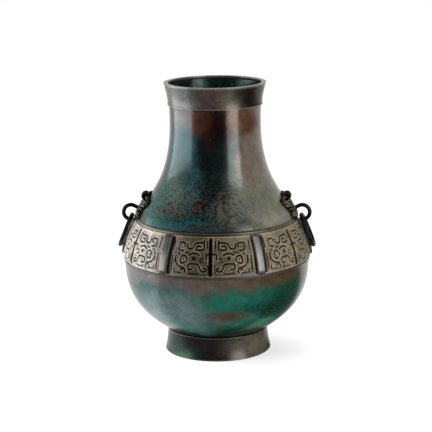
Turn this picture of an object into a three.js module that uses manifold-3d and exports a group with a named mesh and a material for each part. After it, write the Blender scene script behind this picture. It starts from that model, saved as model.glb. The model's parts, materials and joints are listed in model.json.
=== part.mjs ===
// A bronze hu: a round-bellied ritual wine vase with a relief frieze, six ribs,
// and two animal masks, each holding a loop with a loose ring in it.
// Millimetres, +Z up. The axis of the vase is the Z axis, the foot stands on z = 0,
// and the masks are on the +X and -X sides.
import * as THREE from "three";
import { mergeVertices } from "three/addons/utils/BufferGeometryUtils.js";
import Module from "manifold-3d";

const wasm = await Module();
wasm.setup();

// Driving sizes of the vessel
const height = 300;
const wallThickness = 3.2;
const solderGap = 0.3; // between two pieces that are soldered together
const bellyRadius = 102.7;
const bellyHeight = 109; // where the belly is widest
const neckRadius = 49.9;
const neckHeight = 254; // where the neck is narrowest
const mouthNeckRadius = 54; // outside of the neck wall under the lip

// Foot ring and the plate that closes the vessel above it
const footHeight = 25;
const footRadius = 59.2;
const footTopRadius = 55.8;
const footWaistRadius = 56.3; // control point of the flare
const footWaistHeight = 10;
const footRimWidth = 4;
const spigotRadius = 53.6; // the belly's lower end, which stands in the foot
const spigotDepth = 3;
const shelfThickness = 3;
const shelfRadius = 44;
const basePlateThickness = 2.6;

// Mouth collar
const collarHeight = 24;
const collarRadius = 56; // at the lip
const collarFootRadius = 51.6; // at its lower edge
const collarRise = 9; // from the lower edge to the control point of the flare
const collarRebate = 1.2; // how deep the neck is cut back for it
const lipThickness = 3;
const lipInnerRadius = 51;

// Frieze: a shallow recess in the wall, two borders and six panels in it
const friezeBottom = 107;
const friezeTop = 148;
const panelProud = 0.8; // how far the panels stand above the wall line
const recessDepth = 1.5;
const recessClearance = 0.5; // behind the pieces that are set in the recess
const lowerBorderWidth = 2.2;
const upperBorderWidth = 3.2;
const borderProud = 1.1;
const bayCount = 6;

// Ribs over the joints between the panels
const ribWidth = 9;
const ribRise = 2.4; // above the panels
const ribTongueWidth = 2;
const ribSetback = 1; // from the frieze's edges to the rib's ends

// Handles: mask, loop and loose ring
const maskClimb = 33; // from chin to crest, along the wall
const maskHalfWidth = 27;
const maskEdgeThickness = 2.4;
const maskBevel = 0.4;
const maskCrestRise = 4.6;
const maskUndercut = 0.93; // the back's size as a share of the front's
const loopBar = 4.5;
const loopCentreRadius = 8.3;
const loopAboveChin = 2.6; // where the loop's centre is square to the wall
const loopStandOff = 8.5;
const loopEndAngle = -108; // degrees round the loop's centre, where the lower end stops
const ringBar = 4.8;
const ringCentreRadius = 17.9;
const ringPlay = 0.3; // between the ring's bar and the loop or rib that it rests on
const ringSeatAngle = -106; // degrees, the side of the loop's eye that the ring hangs in
const roveRadius = 5;
const roveThickness = 1.2;
const rivetHeadRadius = 3.5;
const rivetHeadHeight = 1.7;

// Smoothness of the solids
const roundSteps = 48;
const barSides = 8;

const degrees = Math.PI / 180;
const bayAngle = (2 * Math.PI) / bayCount;

// Materials
const patina = new THREE.MeshStandardMaterial({ color: 0x37514b, roughness: 0.36, metalness: 0.55 });
const collarBronze = new THREE.MeshStandardMaterial({ color: 0x584f49, roughness: 0.4, metalness: 0.6 });
const footBronze = new THREE.MeshStandardMaterial({ color: 0x4a4138, roughness: 0.4, metalness: 0.6 });
const buffRelief = new THREE.MeshStandardMaterial({ color: 0x8c8269, roughness: 0.62, metalness: 0.3 });
const ribBronze = new THREE.MeshStandardMaterial({ color: 0x59605c, roughness: 0.32, metalness: 0.6 });
const darkBar = new THREE.MeshStandardMaterial({ color: 0x25272a, roughness: 0.34, metalness: 0.7 });

// Outside line of the vessel wall: one curve from the spigot to the widest line, and a
// spline from there to the mouth. The shoulder's pairs are the share of the climb from
// the widest line to the neck, and the share of the swell that is left there.
const bellyFloor = footHeight + solderGap;
const bellyPullOut = 43; // handle of the curve at the spigot
const bellyPullUp = 25.6;
const bellyRise = 33.7; // handle of the curve below the widest line
const shoulder = [
  [0.034, 0.997],
  [0.138, 0.912],
  [0.241, 0.775],
  [0.366, 0.602],
  [0.49, 0.373],
  [0.614, 0.193],
  [0.738, 0.085],
  [0.862, 0.023],
];
const neckFlareStart = height - collarHeight; // the flare under the collar
const neckEnd = height - lipThickness - solderGap;
const flareMiddle = (neckFlareStart + neckEnd) / 2;
const neckUnderCollarRadius = 50.5;

function wallLine() {
  const swell = bellyRadius - neckRadius;
  const rise = neckHeight - bellyHeight;
  const belly = new THREE.CubicBezierCurve(
    new THREE.Vector2(spigotRadius, bellyFloor),
    new THREE.Vector2(spigotRadius + bellyPullOut, bellyFloor + bellyPullUp),
    new THREE.Vector2(bellyRadius, bellyHeight - bellyRise),
    new THREE.Vector2(bellyRadius, bellyHeight),
  );
  const upper = new THREE.SplineCurve([
    new THREE.Vector2(bellyRadius, bellyHeight),
    ...shoulder.map(([up, left]) => new THREE.Vector2(neckRadius + swell * left, bellyHeight + rise * up)),
    new THREE.Vector2(neckRadius, neckHeight),
    new THREE.Vector2(neckUnderCollarRadius, neckFlareStart),
    new THREE.Vector2(mouthNeckRadius, neckEnd),
  ]);
  return [...belly.getPoints(120), ...upper.getPoints(400).slice(1)];
}
const line = wallLine();
const lineLength = line.reduce((sum, p, i) => {
  sum.push(i ? sum[i - 1] + p.distanceTo(line[i - 1]) : 0);
  return sum;
}, []);

// The wall's outside point at a height, with its outward direction.
function wallAt(z) {
  let i = line.findIndex((p) => p.y >= z);
  i = i < 0 ? line.length - 1 : Math.max(i, 1);
  const a = line[i - 1];
  const b = line[i];
  const share = (z - a.y) / (b.y - a.y);
  const along = b.clone().sub(a).normalize();
  return {
    point: a.clone().lerp(b, share),
    out: new THREE.Vector2(along.y, -along.x),
    length: lineLength[i - 1] + share * (lineLength[i] - lineLength[i - 1]),
  };
}

// The point of the wall's line at some distance h outside it.
function offWall(z, h) {
  const { point, out } = wallAt(z);
  return point.clone().addScaledVector(out, h);
}

// The height where the wall's line reaches a length.
function heightAt(length) {
  let i = lineLength.findIndex((passed) => passed >= length);
  i = i < 0 ? line.length - 1 : Math.max(i, 1);
  const share = (length - lineLength[i - 1]) / (lineLength[i] - lineLength[i - 1]);
  return THREE.MathUtils.lerp(line[i - 1].y, line[i].y, share);
}

// A point at an angle round the vase, where x and y are radius and height.
const turned = (p, angle) => new THREE.Vector3(p.x * Math.cos(angle), p.x * Math.sin(angle), p.y);

// Numbers from one to another in even steps
function steps(from, to, count) {
  return Array.from({ length: count + 1 }, (_, i) => THREE.MathUtils.lerp(from, to, i / count));
}

// Heights from one to another, evenly spread along the wall.
const climb = (from, to, count) => steps(wallAt(from).length, wallAt(to).length, count).map(heightAt);

// A turned solid from a closed outline of [radius, height] points.
function turnedSolid(outline, segments = roundSteps) {
  const points = outline.map((p) => (p.isVector2 ? p.clone() : new THREE.Vector2(...p)));
  if (points[0].x > 0) points.push(points[0].clone());
  if (THREE.ShapeUtils.area(points) < 0) points.reverse();
  return new THREE.LatheGeometry(points, segments).rotateX(Math.PI / 2);
}

// Moves each vertex of a geometry to where a function says.
function reshaped(geometry, place) {
  const at = geometry.getAttribute("position");
  const p = new THREE.Vector3();
  for (let i = 0; i < at.count; i++) {
    place(p.fromBufferAttribute(at, i));
    at.setXYZ(i, p.x, p.y, p.z);
  }
  return geometry;
}

function solid(geometry) {
  const bare = geometry.clone();
  bare.deleteAttribute("normal");
  bare.deleteAttribute("uv");
  const merged = mergeVertices(bare, 1e-3);
  return new wasm.Manifold(
    new wasm.Mesh({
      numProp: 3,
      vertProperties: merged.getAttribute("position").array,
      triVerts: new Uint32Array(merged.index.array),
    }),
  );
}

function geometryOf(manifold) {
  const got = manifold.getMesh();
  const geometry = new THREE.BufferGeometry();
  geometry.setAttribute("position", new THREE.BufferAttribute(new Float32Array(got.vertProperties), 3));
  geometry.setIndex(new THREE.BufferAttribute(new Uint32Array(got.triVerts), 1));
  geometry.computeVertexNormals();
  return geometry;
}

function piece(name, geometry, material) {
  const mesh = new THREE.Mesh(geometry, material);
  mesh.name = name;
  return mesh;
}

// Vessel wall, open at the mouth and at the bottom, with the recess for the frieze
const recessBottom = friezeBottom - solderGap - lowerBorderWidth - solderGap;
const recessTop = friezeTop + solderGap + upperBorderWidth + solderGap;

function vesselWall() {
  const belly = climb(bellyFloor, recessBottom, 8).map((z) => offWall(z, 0));
  const recess = climb(recessBottom, recessTop, 4).map((z) => offWall(z, -recessDepth));
  const rebateEdge = neckFlareStart - solderGap;
  const above = [...climb(recessTop, neckHeight, 8), rebateEdge].map((z) => offWall(z, 0));
  const rebate = [rebateEdge, flareMiddle, neckEnd].map((z) => offWall(z, -collarRebate));
  rebate.at(-1).y = neckEnd;
  const inside = [...climb(bellyFloor, bellyHeight, 5), ...climb(bellyHeight, neckHeight, 6).slice(1)];
  const inner = [...inside, neckFlareStart].map((z) => offWall(z, -wallThickness));
  const spigotEnd = footHeight - spigotDepth + solderGap;
  const spigotInner = spigotRadius - wallThickness;
  return turnedSolid([
    [spigotInner, spigotEnd],
    [spigotRadius, spigotEnd],
    ...belly,
    ...recess,
    ...above,
    ...rebate,
    [mouthNeckRadius - wallThickness, neckEnd],
    ...inner.reverse(),
    [spigotInner, bellyFloor + wallThickness / 2],
  ]);
}

function mouthCollar() {
  const edge = neckFlareStart;
  const seat = [edge, flareMiddle, neckEnd].map((z) => offWall(z, solderGap - collarRebate));
  const flare = new THREE.QuadraticBezierCurve(
    new THREE.Vector2(collarRadius, height),
    new THREE.Vector2(collarFootRadius, edge + collarRise),
    new THREE.Vector2(collarFootRadius, edge),
  );
  return turnedSolid([
    ...seat,
    [seat.at(-1).x, neckEnd + solderGap],
    [lipInnerRadius, neckEnd + solderGap],
    [lipInnerRadius, height],
    ...flare.getPoints(3),
  ]);
}

function footRing() {
  const flare = new THREE.QuadraticBezierCurve(
    new THREE.Vector2(footRadius, 0),
    new THREE.Vector2(footWaistRadius, footWaistHeight),
    new THREE.Vector2(footTopRadius, footHeight),
  );
  const socket = spigotRadius + solderGap;
  const shelfTop = footHeight - spigotDepth;
  return turnedSolid([
    [footRadius - footRimWidth, 0],
    ...flare.getPoints(3),
    [socket, footHeight],
    [socket, shelfTop],
    [shelfRadius, shelfTop],
    [shelfRadius, shelfTop - shelfThickness],
    [socket - footRimWidth / 2, shelfTop - shelfThickness],
  ]);
}

function basePlate() {
  const radius = spigotRadius - wallThickness - solderGap;
  const underside = footHeight - spigotDepth + solderGap;
  const top = underside + basePlateThickness;
  return turnedSolid([
    [0, underside],
    [radius, underside],
    [radius, top],
    [0, top],
  ]);
}

function border(bottom, width) {
  const inner = recessClearance - recessDepth;
  return turnedSolid([
    offWall(bottom, inner),
    offWall(bottom, borderProud),
    offWall(bottom + width, borderProud),
    offWall(bottom + width, inner),
  ]);
}

// One curved relief panel, centred on the angle 0
function friezePanel() {
  const inner = recessClearance - recessDepth;
  const block = new THREE.BoxGeometry(1, 1, 1, roundSteps / bayCount, 5, 1);
  return reshaped(block, (p) => {
    const z = THREE.MathUtils.lerp(friezeBottom, friezeTop, p.y + 0.5);
    const at = offWall(z, p.z < 0 ? inner : panelProud);
    const joint = (ribTongueWidth / 2 + solderGap) / at.x;
    p.copy(turned(at, p.x * (bayAngle - 2 * joint)));
  });
}

// One rib at the angle 0: a rounded bar with a tongue in the joint between two panels
function rib() {
  const seat = panelProud + solderGap;
  const half = ribWidth / 2;
  const tongue = ribTongueWidth / 2;
  const shape = new THREE.Shape();
  shape.moveTo(-tongue, recessClearance - recessDepth);
  shape.lineTo(tongue, recessClearance - recessDepth);
  shape.lineTo(tongue, seat);
  shape.lineTo(half, seat);
  shape.absellipse(0, seat, half, ribRise, 0, Math.PI, false);
  shape.lineTo(-tongue, seat);
  const bar = new THREE.ExtrudeGeometry(shape, { depth: 1, steps: 5, bevelEnabled: false, curveSegments: 6 });
  return reshaped(bar, (p) => {
    const z = THREE.MathUtils.lerp(friezeBottom + ribSetback, friezeTop - ribSetback, p.z);
    const at = offWall(z, p.y);
    p.copy(turned(at, -p.x / at.x));
  });
}

// Animal mask on the angle 0. Half of its outline, as shares of its half width and of its
// climb from the chin: muzzle, cheek, jowl, ear, horn and crest
const chinHeight = friezeTop + solderGap; // on the wall
const maskOutline = [
  [0, 0],
  [0.42, 0],
  [0.74, 0.04],
  [0.82, 0.16],
  [0.78, 0.32],
  [0.88, 0.5],
  [1, 0.7],
  [0.93, 0.86],
  [0.62, 0.89],
  [0.34, 0.91],
  [0.22, 1],
  [0, 1],
];
// Swells of its face: place and half size as shares across and up, rise as a share of the
// crest's
const maskSwells = [
  { across: 0, up: 0.33, wide: 0.24, high: 0.18, rise: 0.57 }, // snout
  { across: 0, up: 0.61, wide: 0.22, high: 0.25, rise: 0.35 }, // brow ridge
  { across: 0.41, up: 0.53, wide: 0.2, high: 0.13, rise: 0.48 }, // eye
  { across: 0.74, up: 0.71, wide: 0.24, high: 0.14, rise: 0.43 }, // horn
  { across: 0, up: 0.92, wide: 0.26, high: 0.11, rise: 1 }, // rolled crest
];

function maskRise(across, up) {
  return maskSwells.reduce((sum, s) => {
    const distance = Math.hypot((Math.abs(across) - s.across) / s.wide, (up - s.up) / s.high);
    return sum + maskCrestRise * s.rise * Math.max(0, 1 - distance * distance);
  }, 0);
}

function maskGeometry() {
  const size = new THREE.Vector3(maskHalfWidth, maskClimb, 0);
  const right = maskOutline.map(([across, up]) => new THREE.Vector3(across, up, 0).multiply(size));
  const left = right.slice(1, -1).map((p) => new THREE.Vector3(-p.x, p.y, 0));
  const rim = new THREE.CatmullRomCurve3([...right, ...left.reverse()], true, "catmullrom", 0.4);
  const spokes = 36;
  const rimPoints = rim.getSpacedPoints(spokes);
  const disc = new THREE.LatheGeometry(
    [
      [0, 0],
      [0.3, 0],
      [0.6, 0],
      [maskUndercut, 0],
      [1, 1],
      [0.92, 1],
      [0.75, 1],
      [0.55, 1],
      [0.3, 1],
      [0, 1],
    ].map((p) => new THREE.Vector2(...p)),
    spokes,
  );
  return reshaped(disc, (p) => {
    const share = Math.hypot(p.x, p.z);
    const turn = Math.atan2(p.x, p.z) / (2 * Math.PI) + 1;
    const edge = rimPoints[Math.round(turn * spokes) % spokes];
    const across = edge.x * share;
    const up = THREE.MathUtils.lerp(maskClimb / 2, edge.y, share);
    const z = heightAt(wallAt(chinHeight).length + up);
    const swell = maskBevel + maskRise(across / maskHalfWidth, up / maskClimb);
    const face = maskEdgeThickness + (share < 1 ? swell : 0);
    const at = offWall(z, p.y > 0.5 ? face : solderGap);
    p.copy(turned(at, across / at.x));
  });
}

// The band of border and panels that the chin laps over
function lapCutter() {
  const lap = borderProud + solderGap;
  const top = recessTop + solderGap;
  return solid(
    turnedSolid([
      offWall(friezeBottom, -wallThickness),
      offWall(friezeBottom, lap),
      offWall(friezeTop, lap),
      offWall(top, lap),
      offWall(top, -wallThickness),
    ]),
  );
}

// Loop: a round bar, square through mask and wall, riveted over inside on a rove, and
// bent round in the plane y = 0 until its end comes down on the chin of the mask.
const loopCentre = offWall(chinHeight + loopAboveChin, loopStandOff);
const legOut = wallAt(chinHeight + loopAboveChin + loopCentreRadius).out;
const legTurn = Math.atan2(legOut.x, -legOut.y); // where the circle runs along the leg
const legStart = new THREE.Vector2(Math.cos(legTurn), Math.sin(legTurn))
  .multiplyScalar(loopCentreRadius)
  .add(loopCentre);

// How far down the leg the wall's outside is
const fineStep = 0.02; // of this search
function legReach() {
  let reach = 0;
  const at = legStart.clone();
  while (at.x > wallAt(at.y).point.x) {
    reach += fineStep;
    at.copy(legStart).addScaledVector(legOut, -reach);
  }
  return reach;
}
const wallReach = legReach();
const wallHollow = roveRadius ** 2 / neckRadius; // room for the flat rove on the hollow side of the wall
const roveReach = wallReach + wallThickness + solderGap + wallHollow;
const headReach = roveReach + roveThickness + solderGap;

const inPlane = (p) => new THREE.Vector3(p.x, 0, p.y);
const downLeg = (reach) => legStart.clone().addScaledVector(legOut, -reach);

// The bar's centre line, from a reach down the leg to a distance past the loop's end
function loopPath(reach, past) {
  const path = new THREE.CurvePath();
  path.add(new THREE.LineCurve3(inPlane(downLeg(reach)), inPlane(legStart)));
  const end = loopEndAngle * degrees - past / loopCentreRadius;
  const arc = steps(legTurn, end, 12).map((turn) =>
    inPlane(
      new THREE.Vector2(Math.cos(turn), Math.sin(turn)).multiplyScalar(loopCentreRadius).add(loopCentre),
    ),
  );
  path.add(new THREE.CatmullRomCurve3(arc));
  return path;
}

function roundBar(path, radius, count) {
  const section = new THREE.Shape();
  section.absarc(0, 0, radius, 0, 2 * Math.PI);
  return new THREE.ExtrudeGeometry(section, {
    steps: count,
    extrudePath: path,
    bevelEnabled: false,
    curveSegments: barSides / 2,
  });
}

// Turns a solid made along +Z so that it lies along the leg, from a reach inwards.
function alongLeg(geometry, reach) {
  const inwards = inPlane(legOut).negate();
  const turn = new THREE.Quaternion().setFromUnitVectors(new THREE.Vector3(0, 0, 1), inwards);
  const from = inPlane(downLeg(reach));
  return geometry.applyQuaternion(turn).translate(from.x, from.y, from.z);
}

function loopGeometry() {
  const bar = solid(roundBar(loopPath(headReach + rivetHeadHeight / 2, 0), loopBar / 2, 20));
  const head = turnedSolid(
    [
      [0, 0],
      [rivetHeadRadius, 0],
      [rivetHeadRadius * 0.9, rivetHeadHeight * 0.6],
      [rivetHeadRadius * 0.4, rivetHeadHeight],
      [0, rivetHeadHeight],
    ],
    12,
  );
  return geometryOf(bar.add(solid(alongLeg(head, headReach))));
}

function roveGeometry() {
  const bore = loopBar / 2 + solderGap;
  return alongLeg(
    turnedSolid(
      [
        [bore, 0],
        [roveRadius, 0],
        [roveRadius, roveThickness],
        [bore, roveThickness],
      ],
      16,
    ),
    roveReach,
  );
}

// What the loop needs cut out of the mask, the wall and the rib's end
const loopRoom = roundBar(loopPath(roveReach + roveThickness, solderGap), loopBar / 2 + solderGap, 20);
const loopCutter = solid(loopRoom);
const bothLoopCutters = loopCutter.add(loopCutter.rotate([0, 0, 180]));

// The ring hangs from the bottom of the loop's eye and leans on the rib below it.
const eyePlay = loopCentreRadius - loopBar / 2 - ringBar / 2 - ringPlay;
const ringPivot = new THREE.Vector2(Math.cos(ringSeatAngle * degrees), Math.sin(ringSeatAngle * degrees))
  .multiplyScalar(eyePlay)
  .add(loopCentre);
const ribCrest = panelProud + solderGap + ribRise;

// The angle out from plumb at which the ring's bar just clears the rib
function ringLean() {
  const clear = ringBar / 2 + ringPlay;
  const heights = steps(friezeBottom + ribSetback, friezeTop - ribSetback, 120);
  const crest = heights.map((z) => offWall(z, ribCrest));
  let lean = 0;
  const bottom = new THREE.Vector2();
  do {
    lean += 0.05 * degrees;
    bottom.set(Math.sin(lean), -Math.cos(lean)).multiplyScalar(2 * ringCentreRadius).add(ringPivot);
  } while (crest.some((p) => p.distanceTo(bottom) < clear || p.x > bottom.x + clear));
  return lean;
}
const lean = ringLean();

function ringGeometry() {
  const ring = new THREE.TorusGeometry(ringCentreRadius, ringBar / 2, barSides, 28);
  // Stood up in the plane x = 0 below the pivot, then leant out
  return ring
    .rotateY(Math.PI / 2)
    .translate(0, 0, -ringCentreRadius)
    .rotateY(-lean)
    .translate(ringPivot.x, 0, ringPivot.y);
}

// One handle on the +X side, turned to its own side
function handle(side, angle) {
  const group = new THREE.Group();
  const mask = solid(maskGeometry()).subtract(loopCutter).subtract(lapCutter());
  group.add(
    piece("mask_" + side, geometryOf(mask), buffRelief),
    piece("loop_" + side, loopGeometry(), darkBar),
    piece("rove_" + side, roveGeometry(), ribBronze),
    piece("ring_" + side, ringGeometry(), darkBar),
  );
  group.rotation.z = angle;
  return group;
}

function ribAt(angle) {
  return geometryOf(solid(rib()).subtract(bothLoopCutters.rotate([0, 0, -angle / degrees])));
}

const hu = new THREE.Group();
hu.add(
  piece("vessel_body", geometryOf(solid(vesselWall()).subtract(bothLoopCutters)), patina),
  piece("mouth_collar", mouthCollar(), collarBronze),
  piece("foot_ring", footRing(), footBronze),
  piece("base_plate", basePlate(), footBronze),
  piece("lower_border", border(recessBottom + solderGap, lowerBorderWidth), buffRelief),
  piece("upper_border", border(friezeTop + solderGap, upperBorderWidth), buffRelief),
);
for (let bay = 0; bay < bayCount; bay++) {
  const panel = piece(`frieze_panel_${bay + 1}`, friezePanel(), buffRelief);
  panel.rotation.z = (bay + 0.5) * bayAngle;
  const bar = piece(`rib_${bay + 1}`, ribAt(bay * bayAngle), ribBronze);
  bar.rotation.z = bay * bayAngle;
  hu.add(panel, bar);
}
hu.add(handle("right", 0), handle("left", Math.PI));

console.log("ring pivot", ringPivot.x.toFixed(3), ringPivot.y.toFixed(3));
console.log("ring lean", (lean / degrees).toFixed(2));

export default hu;
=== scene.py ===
# %% [markdown]
# # A bronze hu vase
# The real vase is a round-bellied wine vessel, cast in bronze and patinated in greens and
# browns. A collar closes its mouth, a foot ring carries it, a band of buff relief runs round
# its widest part, and two animal masks hold loose rings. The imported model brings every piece
# in its true place and size. This script keeps those places and gives each piece its fine
# surface, so everything below is measured in millimetres from the same driving sizes.

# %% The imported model
import json
import math

import bmesh
import bpy
import numpy as np
from bmesh.types import BMEdge, BMFace, BMVert
from mathutils import Matrix, Vector
from mathutils.geometry import interpolate_bezier


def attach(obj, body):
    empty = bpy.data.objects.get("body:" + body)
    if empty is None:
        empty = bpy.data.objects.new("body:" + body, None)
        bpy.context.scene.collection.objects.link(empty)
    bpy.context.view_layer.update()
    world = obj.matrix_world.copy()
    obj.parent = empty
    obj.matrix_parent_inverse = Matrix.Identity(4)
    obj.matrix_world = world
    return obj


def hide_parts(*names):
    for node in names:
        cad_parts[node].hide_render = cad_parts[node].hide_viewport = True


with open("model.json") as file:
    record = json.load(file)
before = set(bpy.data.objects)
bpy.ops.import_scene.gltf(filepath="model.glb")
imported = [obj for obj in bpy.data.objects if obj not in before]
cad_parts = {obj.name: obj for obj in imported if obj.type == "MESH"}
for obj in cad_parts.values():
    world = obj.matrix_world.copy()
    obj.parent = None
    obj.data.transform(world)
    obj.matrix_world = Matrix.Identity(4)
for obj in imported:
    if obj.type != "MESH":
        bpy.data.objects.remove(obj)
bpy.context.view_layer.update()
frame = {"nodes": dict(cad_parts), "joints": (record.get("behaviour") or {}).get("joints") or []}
bpy.context.scene.view_settings.view_transform = "Standard"
MM = 0.001  # metres

# %% [markdown]
# ## Camera
# The picture is taken with a long lens from about five heights away, a little above the mouth
# and a little to the right of the front panel. A camera that is aimed by hand drifts when
# anything else moves, so its place comes from five measured values instead.

# %% Camera
CAMERA_DISTANCE = 1.578  # from the vase's axis, in metres
CAMERA_HEIGHT = 0.510
CAMERA_TURN = math.radians(3.5)  # to the right of the front
CAMERA_PITCH = math.radians(12.85)  # downwards
CAMERA_ROLL = math.radians(-0.74)


def outwards(turn):
    # Level and away from the axis, at an angle to the right of the front
    return Vector((math.sin(turn), -math.cos(turn), 0))


def in_scene(name, data):
    made = bpy.data.objects.new(name, data)
    bpy.context.scene.collection.objects.link(made)
    return made


camera = in_scene("camera", bpy.data.cameras.new("camera"))
bpy.context.scene.camera = camera
camera.data.sensor_width = 36
camera.data.lens = 121.4
camera.data.shift_x = -0.001
camera.data.clip_end = 20
stand = outwards(CAMERA_TURN) * CAMERA_DISTANCE
stand.z = CAMERA_HEIGHT
aim = Matrix.Rotation(CAMERA_TURN, 4, "Z") @ Matrix.Rotation(math.radians(90) - CAMERA_PITCH, 4, "X")
camera.matrix_world = Matrix.Translation(stand) @ aim @ Matrix.Rotation(CAMERA_ROLL, 4, "Z")
print("camera", [round(c, 3) for c in stand])

# %% [markdown]
# ## Node helpers and colours
# Every material below is a small graph of nodes. One function adds a node with its settings
# and links, and a few short ones add the kinds that come up often, so that each graph reads
# as a list. Colours are written as sRGB hex values, as on a painter's swatch, and one function
# turns them to linear light.

# %% Node helpers and colours
WHITE = (1, 1, 1, 1)


def node(tree, kind, links=None, **settings):
    made = tree.nodes.new("ShaderNode" + kind)
    for key, value in settings.items():
        setattr(made, key, value)
    for socket, source in (links or {}).items():
        if isinstance(source, bpy.types.NodeSocket):
            tree.links.new(source, made.inputs[socket])
        else:
            made.inputs[socket].default_value = source
    return made


def level(tree, value, from_low, from_high, low=0.0, high=1.0, curve="SMOOTHSTEP"):
    span = {"Value": value, "From Min": from_low, "From Max": from_high, "To Min": low, "To Max": high}
    return node(tree, "MapRange", span, interpolation_type=curve).outputs[0]


def maths(tree, operation, a, b):
    return node(tree, "Math", {0: a, 1: b}, operation=operation).outputs[0]


def times(tree, a, b):
    return maths(tree, "MULTIPLY", a, b)


def vector_maths(tree, operation, a, b):
    return node(tree, "VectorMath", {0: a, 1: b}, operation=operation).outputs


def mix(tree, share, under, over):
    # A mix node has sockets for every kind of data, and these are the ones for colours
    return node(tree, "Mix", {0: share, 6: under, 7: over}, data_type="RGBA").outputs[2]


def scaled(tree, skin, factor):
    return node(tree, "VectorMath", {0: skin, "Scale": factor}, operation="SCALE").outputs[0]


def noise(tree, where, size, detail, roughness):
    links = {"Vector": where, "Scale": 1 / (size * MM), "Detail": detail, "Roughness": roughness}
    return node(tree, "TexNoise", links).outputs


def bump(tree, height, strength, distance, **under):
    links = {"Height": height, "Strength": strength, "Distance": distance * MM, **under}
    return node(tree, "Bump", links).outputs[0]


def new_material(name):
    material = bpy.data.materials.new(name)
    material.use_nodes = True
    tree = material.node_tree
    tree.nodes.clear()
    return material, tree, node(tree, "TexCoord").outputs["Object"]


def metal(material, **inputs):
    tree = material.node_tree
    shader = node(tree, "BsdfPrincipled", {name.replace("_", " "): value for name, value in inputs.items()})
    node(tree, "OutputMaterial", {"Surface": shader.outputs[0]})
    print(material.name, len(tree.nodes), "nodes")
    return material


def colour(swatch):
    channels = [int(swatch[i : i + 2], 16) / 255 for i in (1, 3, 5)]
    linear = [c / 12.92 if c <= 0.04045 else ((c + 0.055) / 1.055) ** 2.4 for c in channels]
    return (*linear, 1)


print("the floor's grey in linear light", round(colour("#d4d4d4")[0], 3))

# %% [markdown]
# ## Studio
# Waxed bronze is mostly a picture of what stands round it, so the studio matters as much as
# the metal. The room is light behind the vase and to its left, and falls off to dark towards
# the camera and the right. A wide soft box stands at the left and a narrow one in front, to
# the right. Both reach below the floor's level, because a vertical wall that is seen from
# above mirrors what lies low. The floor is pale, and keeps the vase's shadow.

# %% The room
LIT_SIDE = (-0.6, 0.8, -0.7)  # towards the lightest part of the room
ROOM_FILL = 0.2  # its strength in the light that matt surfaces scatter

world = bpy.data.worlds.new("studio")
bpy.context.scene.world = world
world.use_nodes = True
tree = world.node_tree
tree.nodes.clear()
path = node(tree, "LightPath").outputs
seen = maths(tree, "MAXIMUM", path["Is Camera Ray"], path["Is Glossy Ray"])
seen = maths(tree, "MAXIMUM", seen, path["Is Transmission Ray"])
direction = node(tree, "TexCoord").outputs["Generated"]
to_lit_side = vector_maths(tree, "DOT_PRODUCT", direction, LIT_SIDE)["Value"]
room = level(tree, to_lit_side, -0.45, 0.85, 0.05, 0.8)
room = maths(tree, "MAXIMUM", room, path["Is Camera Ray"])
strength = node(tree, "Mix", {0: seen, 2: ROOM_FILL, 3: room}, data_type="FLOAT").outputs[0]
light = node(tree, "Background", {"Color": WHITE, "Strength": strength})
node(tree, "OutputWorld", {"Surface": light.outputs[0]})
print("room", len(tree.nodes), "nodes")

# %% Soft boxes
BOX_DISTANCE = 1.35


def soft_box(name, turn, width, height, middle, radiance):
    lamp = bpy.data.lights.new(name, "AREA")
    lamp.shape = "RECTANGLE"
    lamp.size = width
    lamp.size_y = height
    lamp.energy = radiance * math.pi * width * height
    holder = in_scene(name, lamp)
    out = outwards(turn)
    holder.location = out * BOX_DISTANCE + Vector((0, 0, middle))
    holder.rotation_euler = out.to_track_quat("Z", "Y").to_euler()
    holder.visible_camera = False
    print(name, round(lamp.energy, 2), "W")


soft_box("left_soft_box", math.radians(-88), width=1.7, height=0.95, middle=0.03, radiance=2.85)
soft_box("right_soft_box", math.radians(46.5), width=0.7, height=1.5, middle=0.35, radiance=3.1)

# %% The floor
FLOOR_RADIUS = 0.8
FLOOR_DROP = 0.0002  # below the foot
SHADOW_MIDDLE = (0.045, -0.015, 0)  # the shadow lies to the right of the foot
SHADOW_REACH = 0.125
FLOOR_LIT_SIDE = (-0.45, 0.89, 0)  # mirrored, the floor is light on this side and dark on the other


def as_mesh(bm, name):
    mesh = bpy.data.meshes.new(name)
    bm.to_mesh(mesh)
    bm.free()
    return mesh


bm = bmesh.new()
bmesh.ops.create_circle(bm, cap_ends=True, segments=128, radius=FLOOR_RADIUS)
floor = in_scene("floor", as_mesh(bm, "floor"))
floor.location.z = -FLOOR_DROP
pale, tree, where = new_material("pale floor")
path = node(tree, "LightPath").outputs
matt = node(tree, "BsdfDiffuse", {"Color": colour("#d4d4d4")})
from_shadow = vector_maths(tree, "DISTANCE", where, SHADOW_MIDDLE)["Value"]
lift = times(tree, path["Is Camera Ray"], level(tree, from_shadow, 0, SHADOW_REACH, 0.62, 1.05))
glow = node(tree, "Emission", {"Strength": lift})
direct = node(tree, "AddShader", {0: matt.outputs[0], 1: glow.outputs[0]})
behind = vector_maths(tree, "DOT_PRODUCT", where, FLOOR_LIT_SIDE)["Value"]
shine = node(tree, "Emission", {"Strength": level(tree, behind, -0.03, 0.035, 0.1, 0.95)})
both = node(tree, "MixShader", {0: path["Is Glossy Ray"], 1: direct.outputs[0], 2: shine.outputs[0]})
node(tree, "OutputMaterial", {"Surface": both.outputs[0]})
floor.data.materials.append(pale)
print("floor", FLOOR_RADIUS, "m in radius")

# %% [markdown]
# ## The line of the wall
# A vessel like this is designed as one line, from the foot's socket over the belly and the
# shoulder to the mouth. Below the widest point one Bezier curve does, above it a smooth curve
# through a few points is closer. Panels, ribs and masks all lie along this line, so it is kept
# as a lookup that gives a point at any height and at any distance outside the wall.

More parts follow.
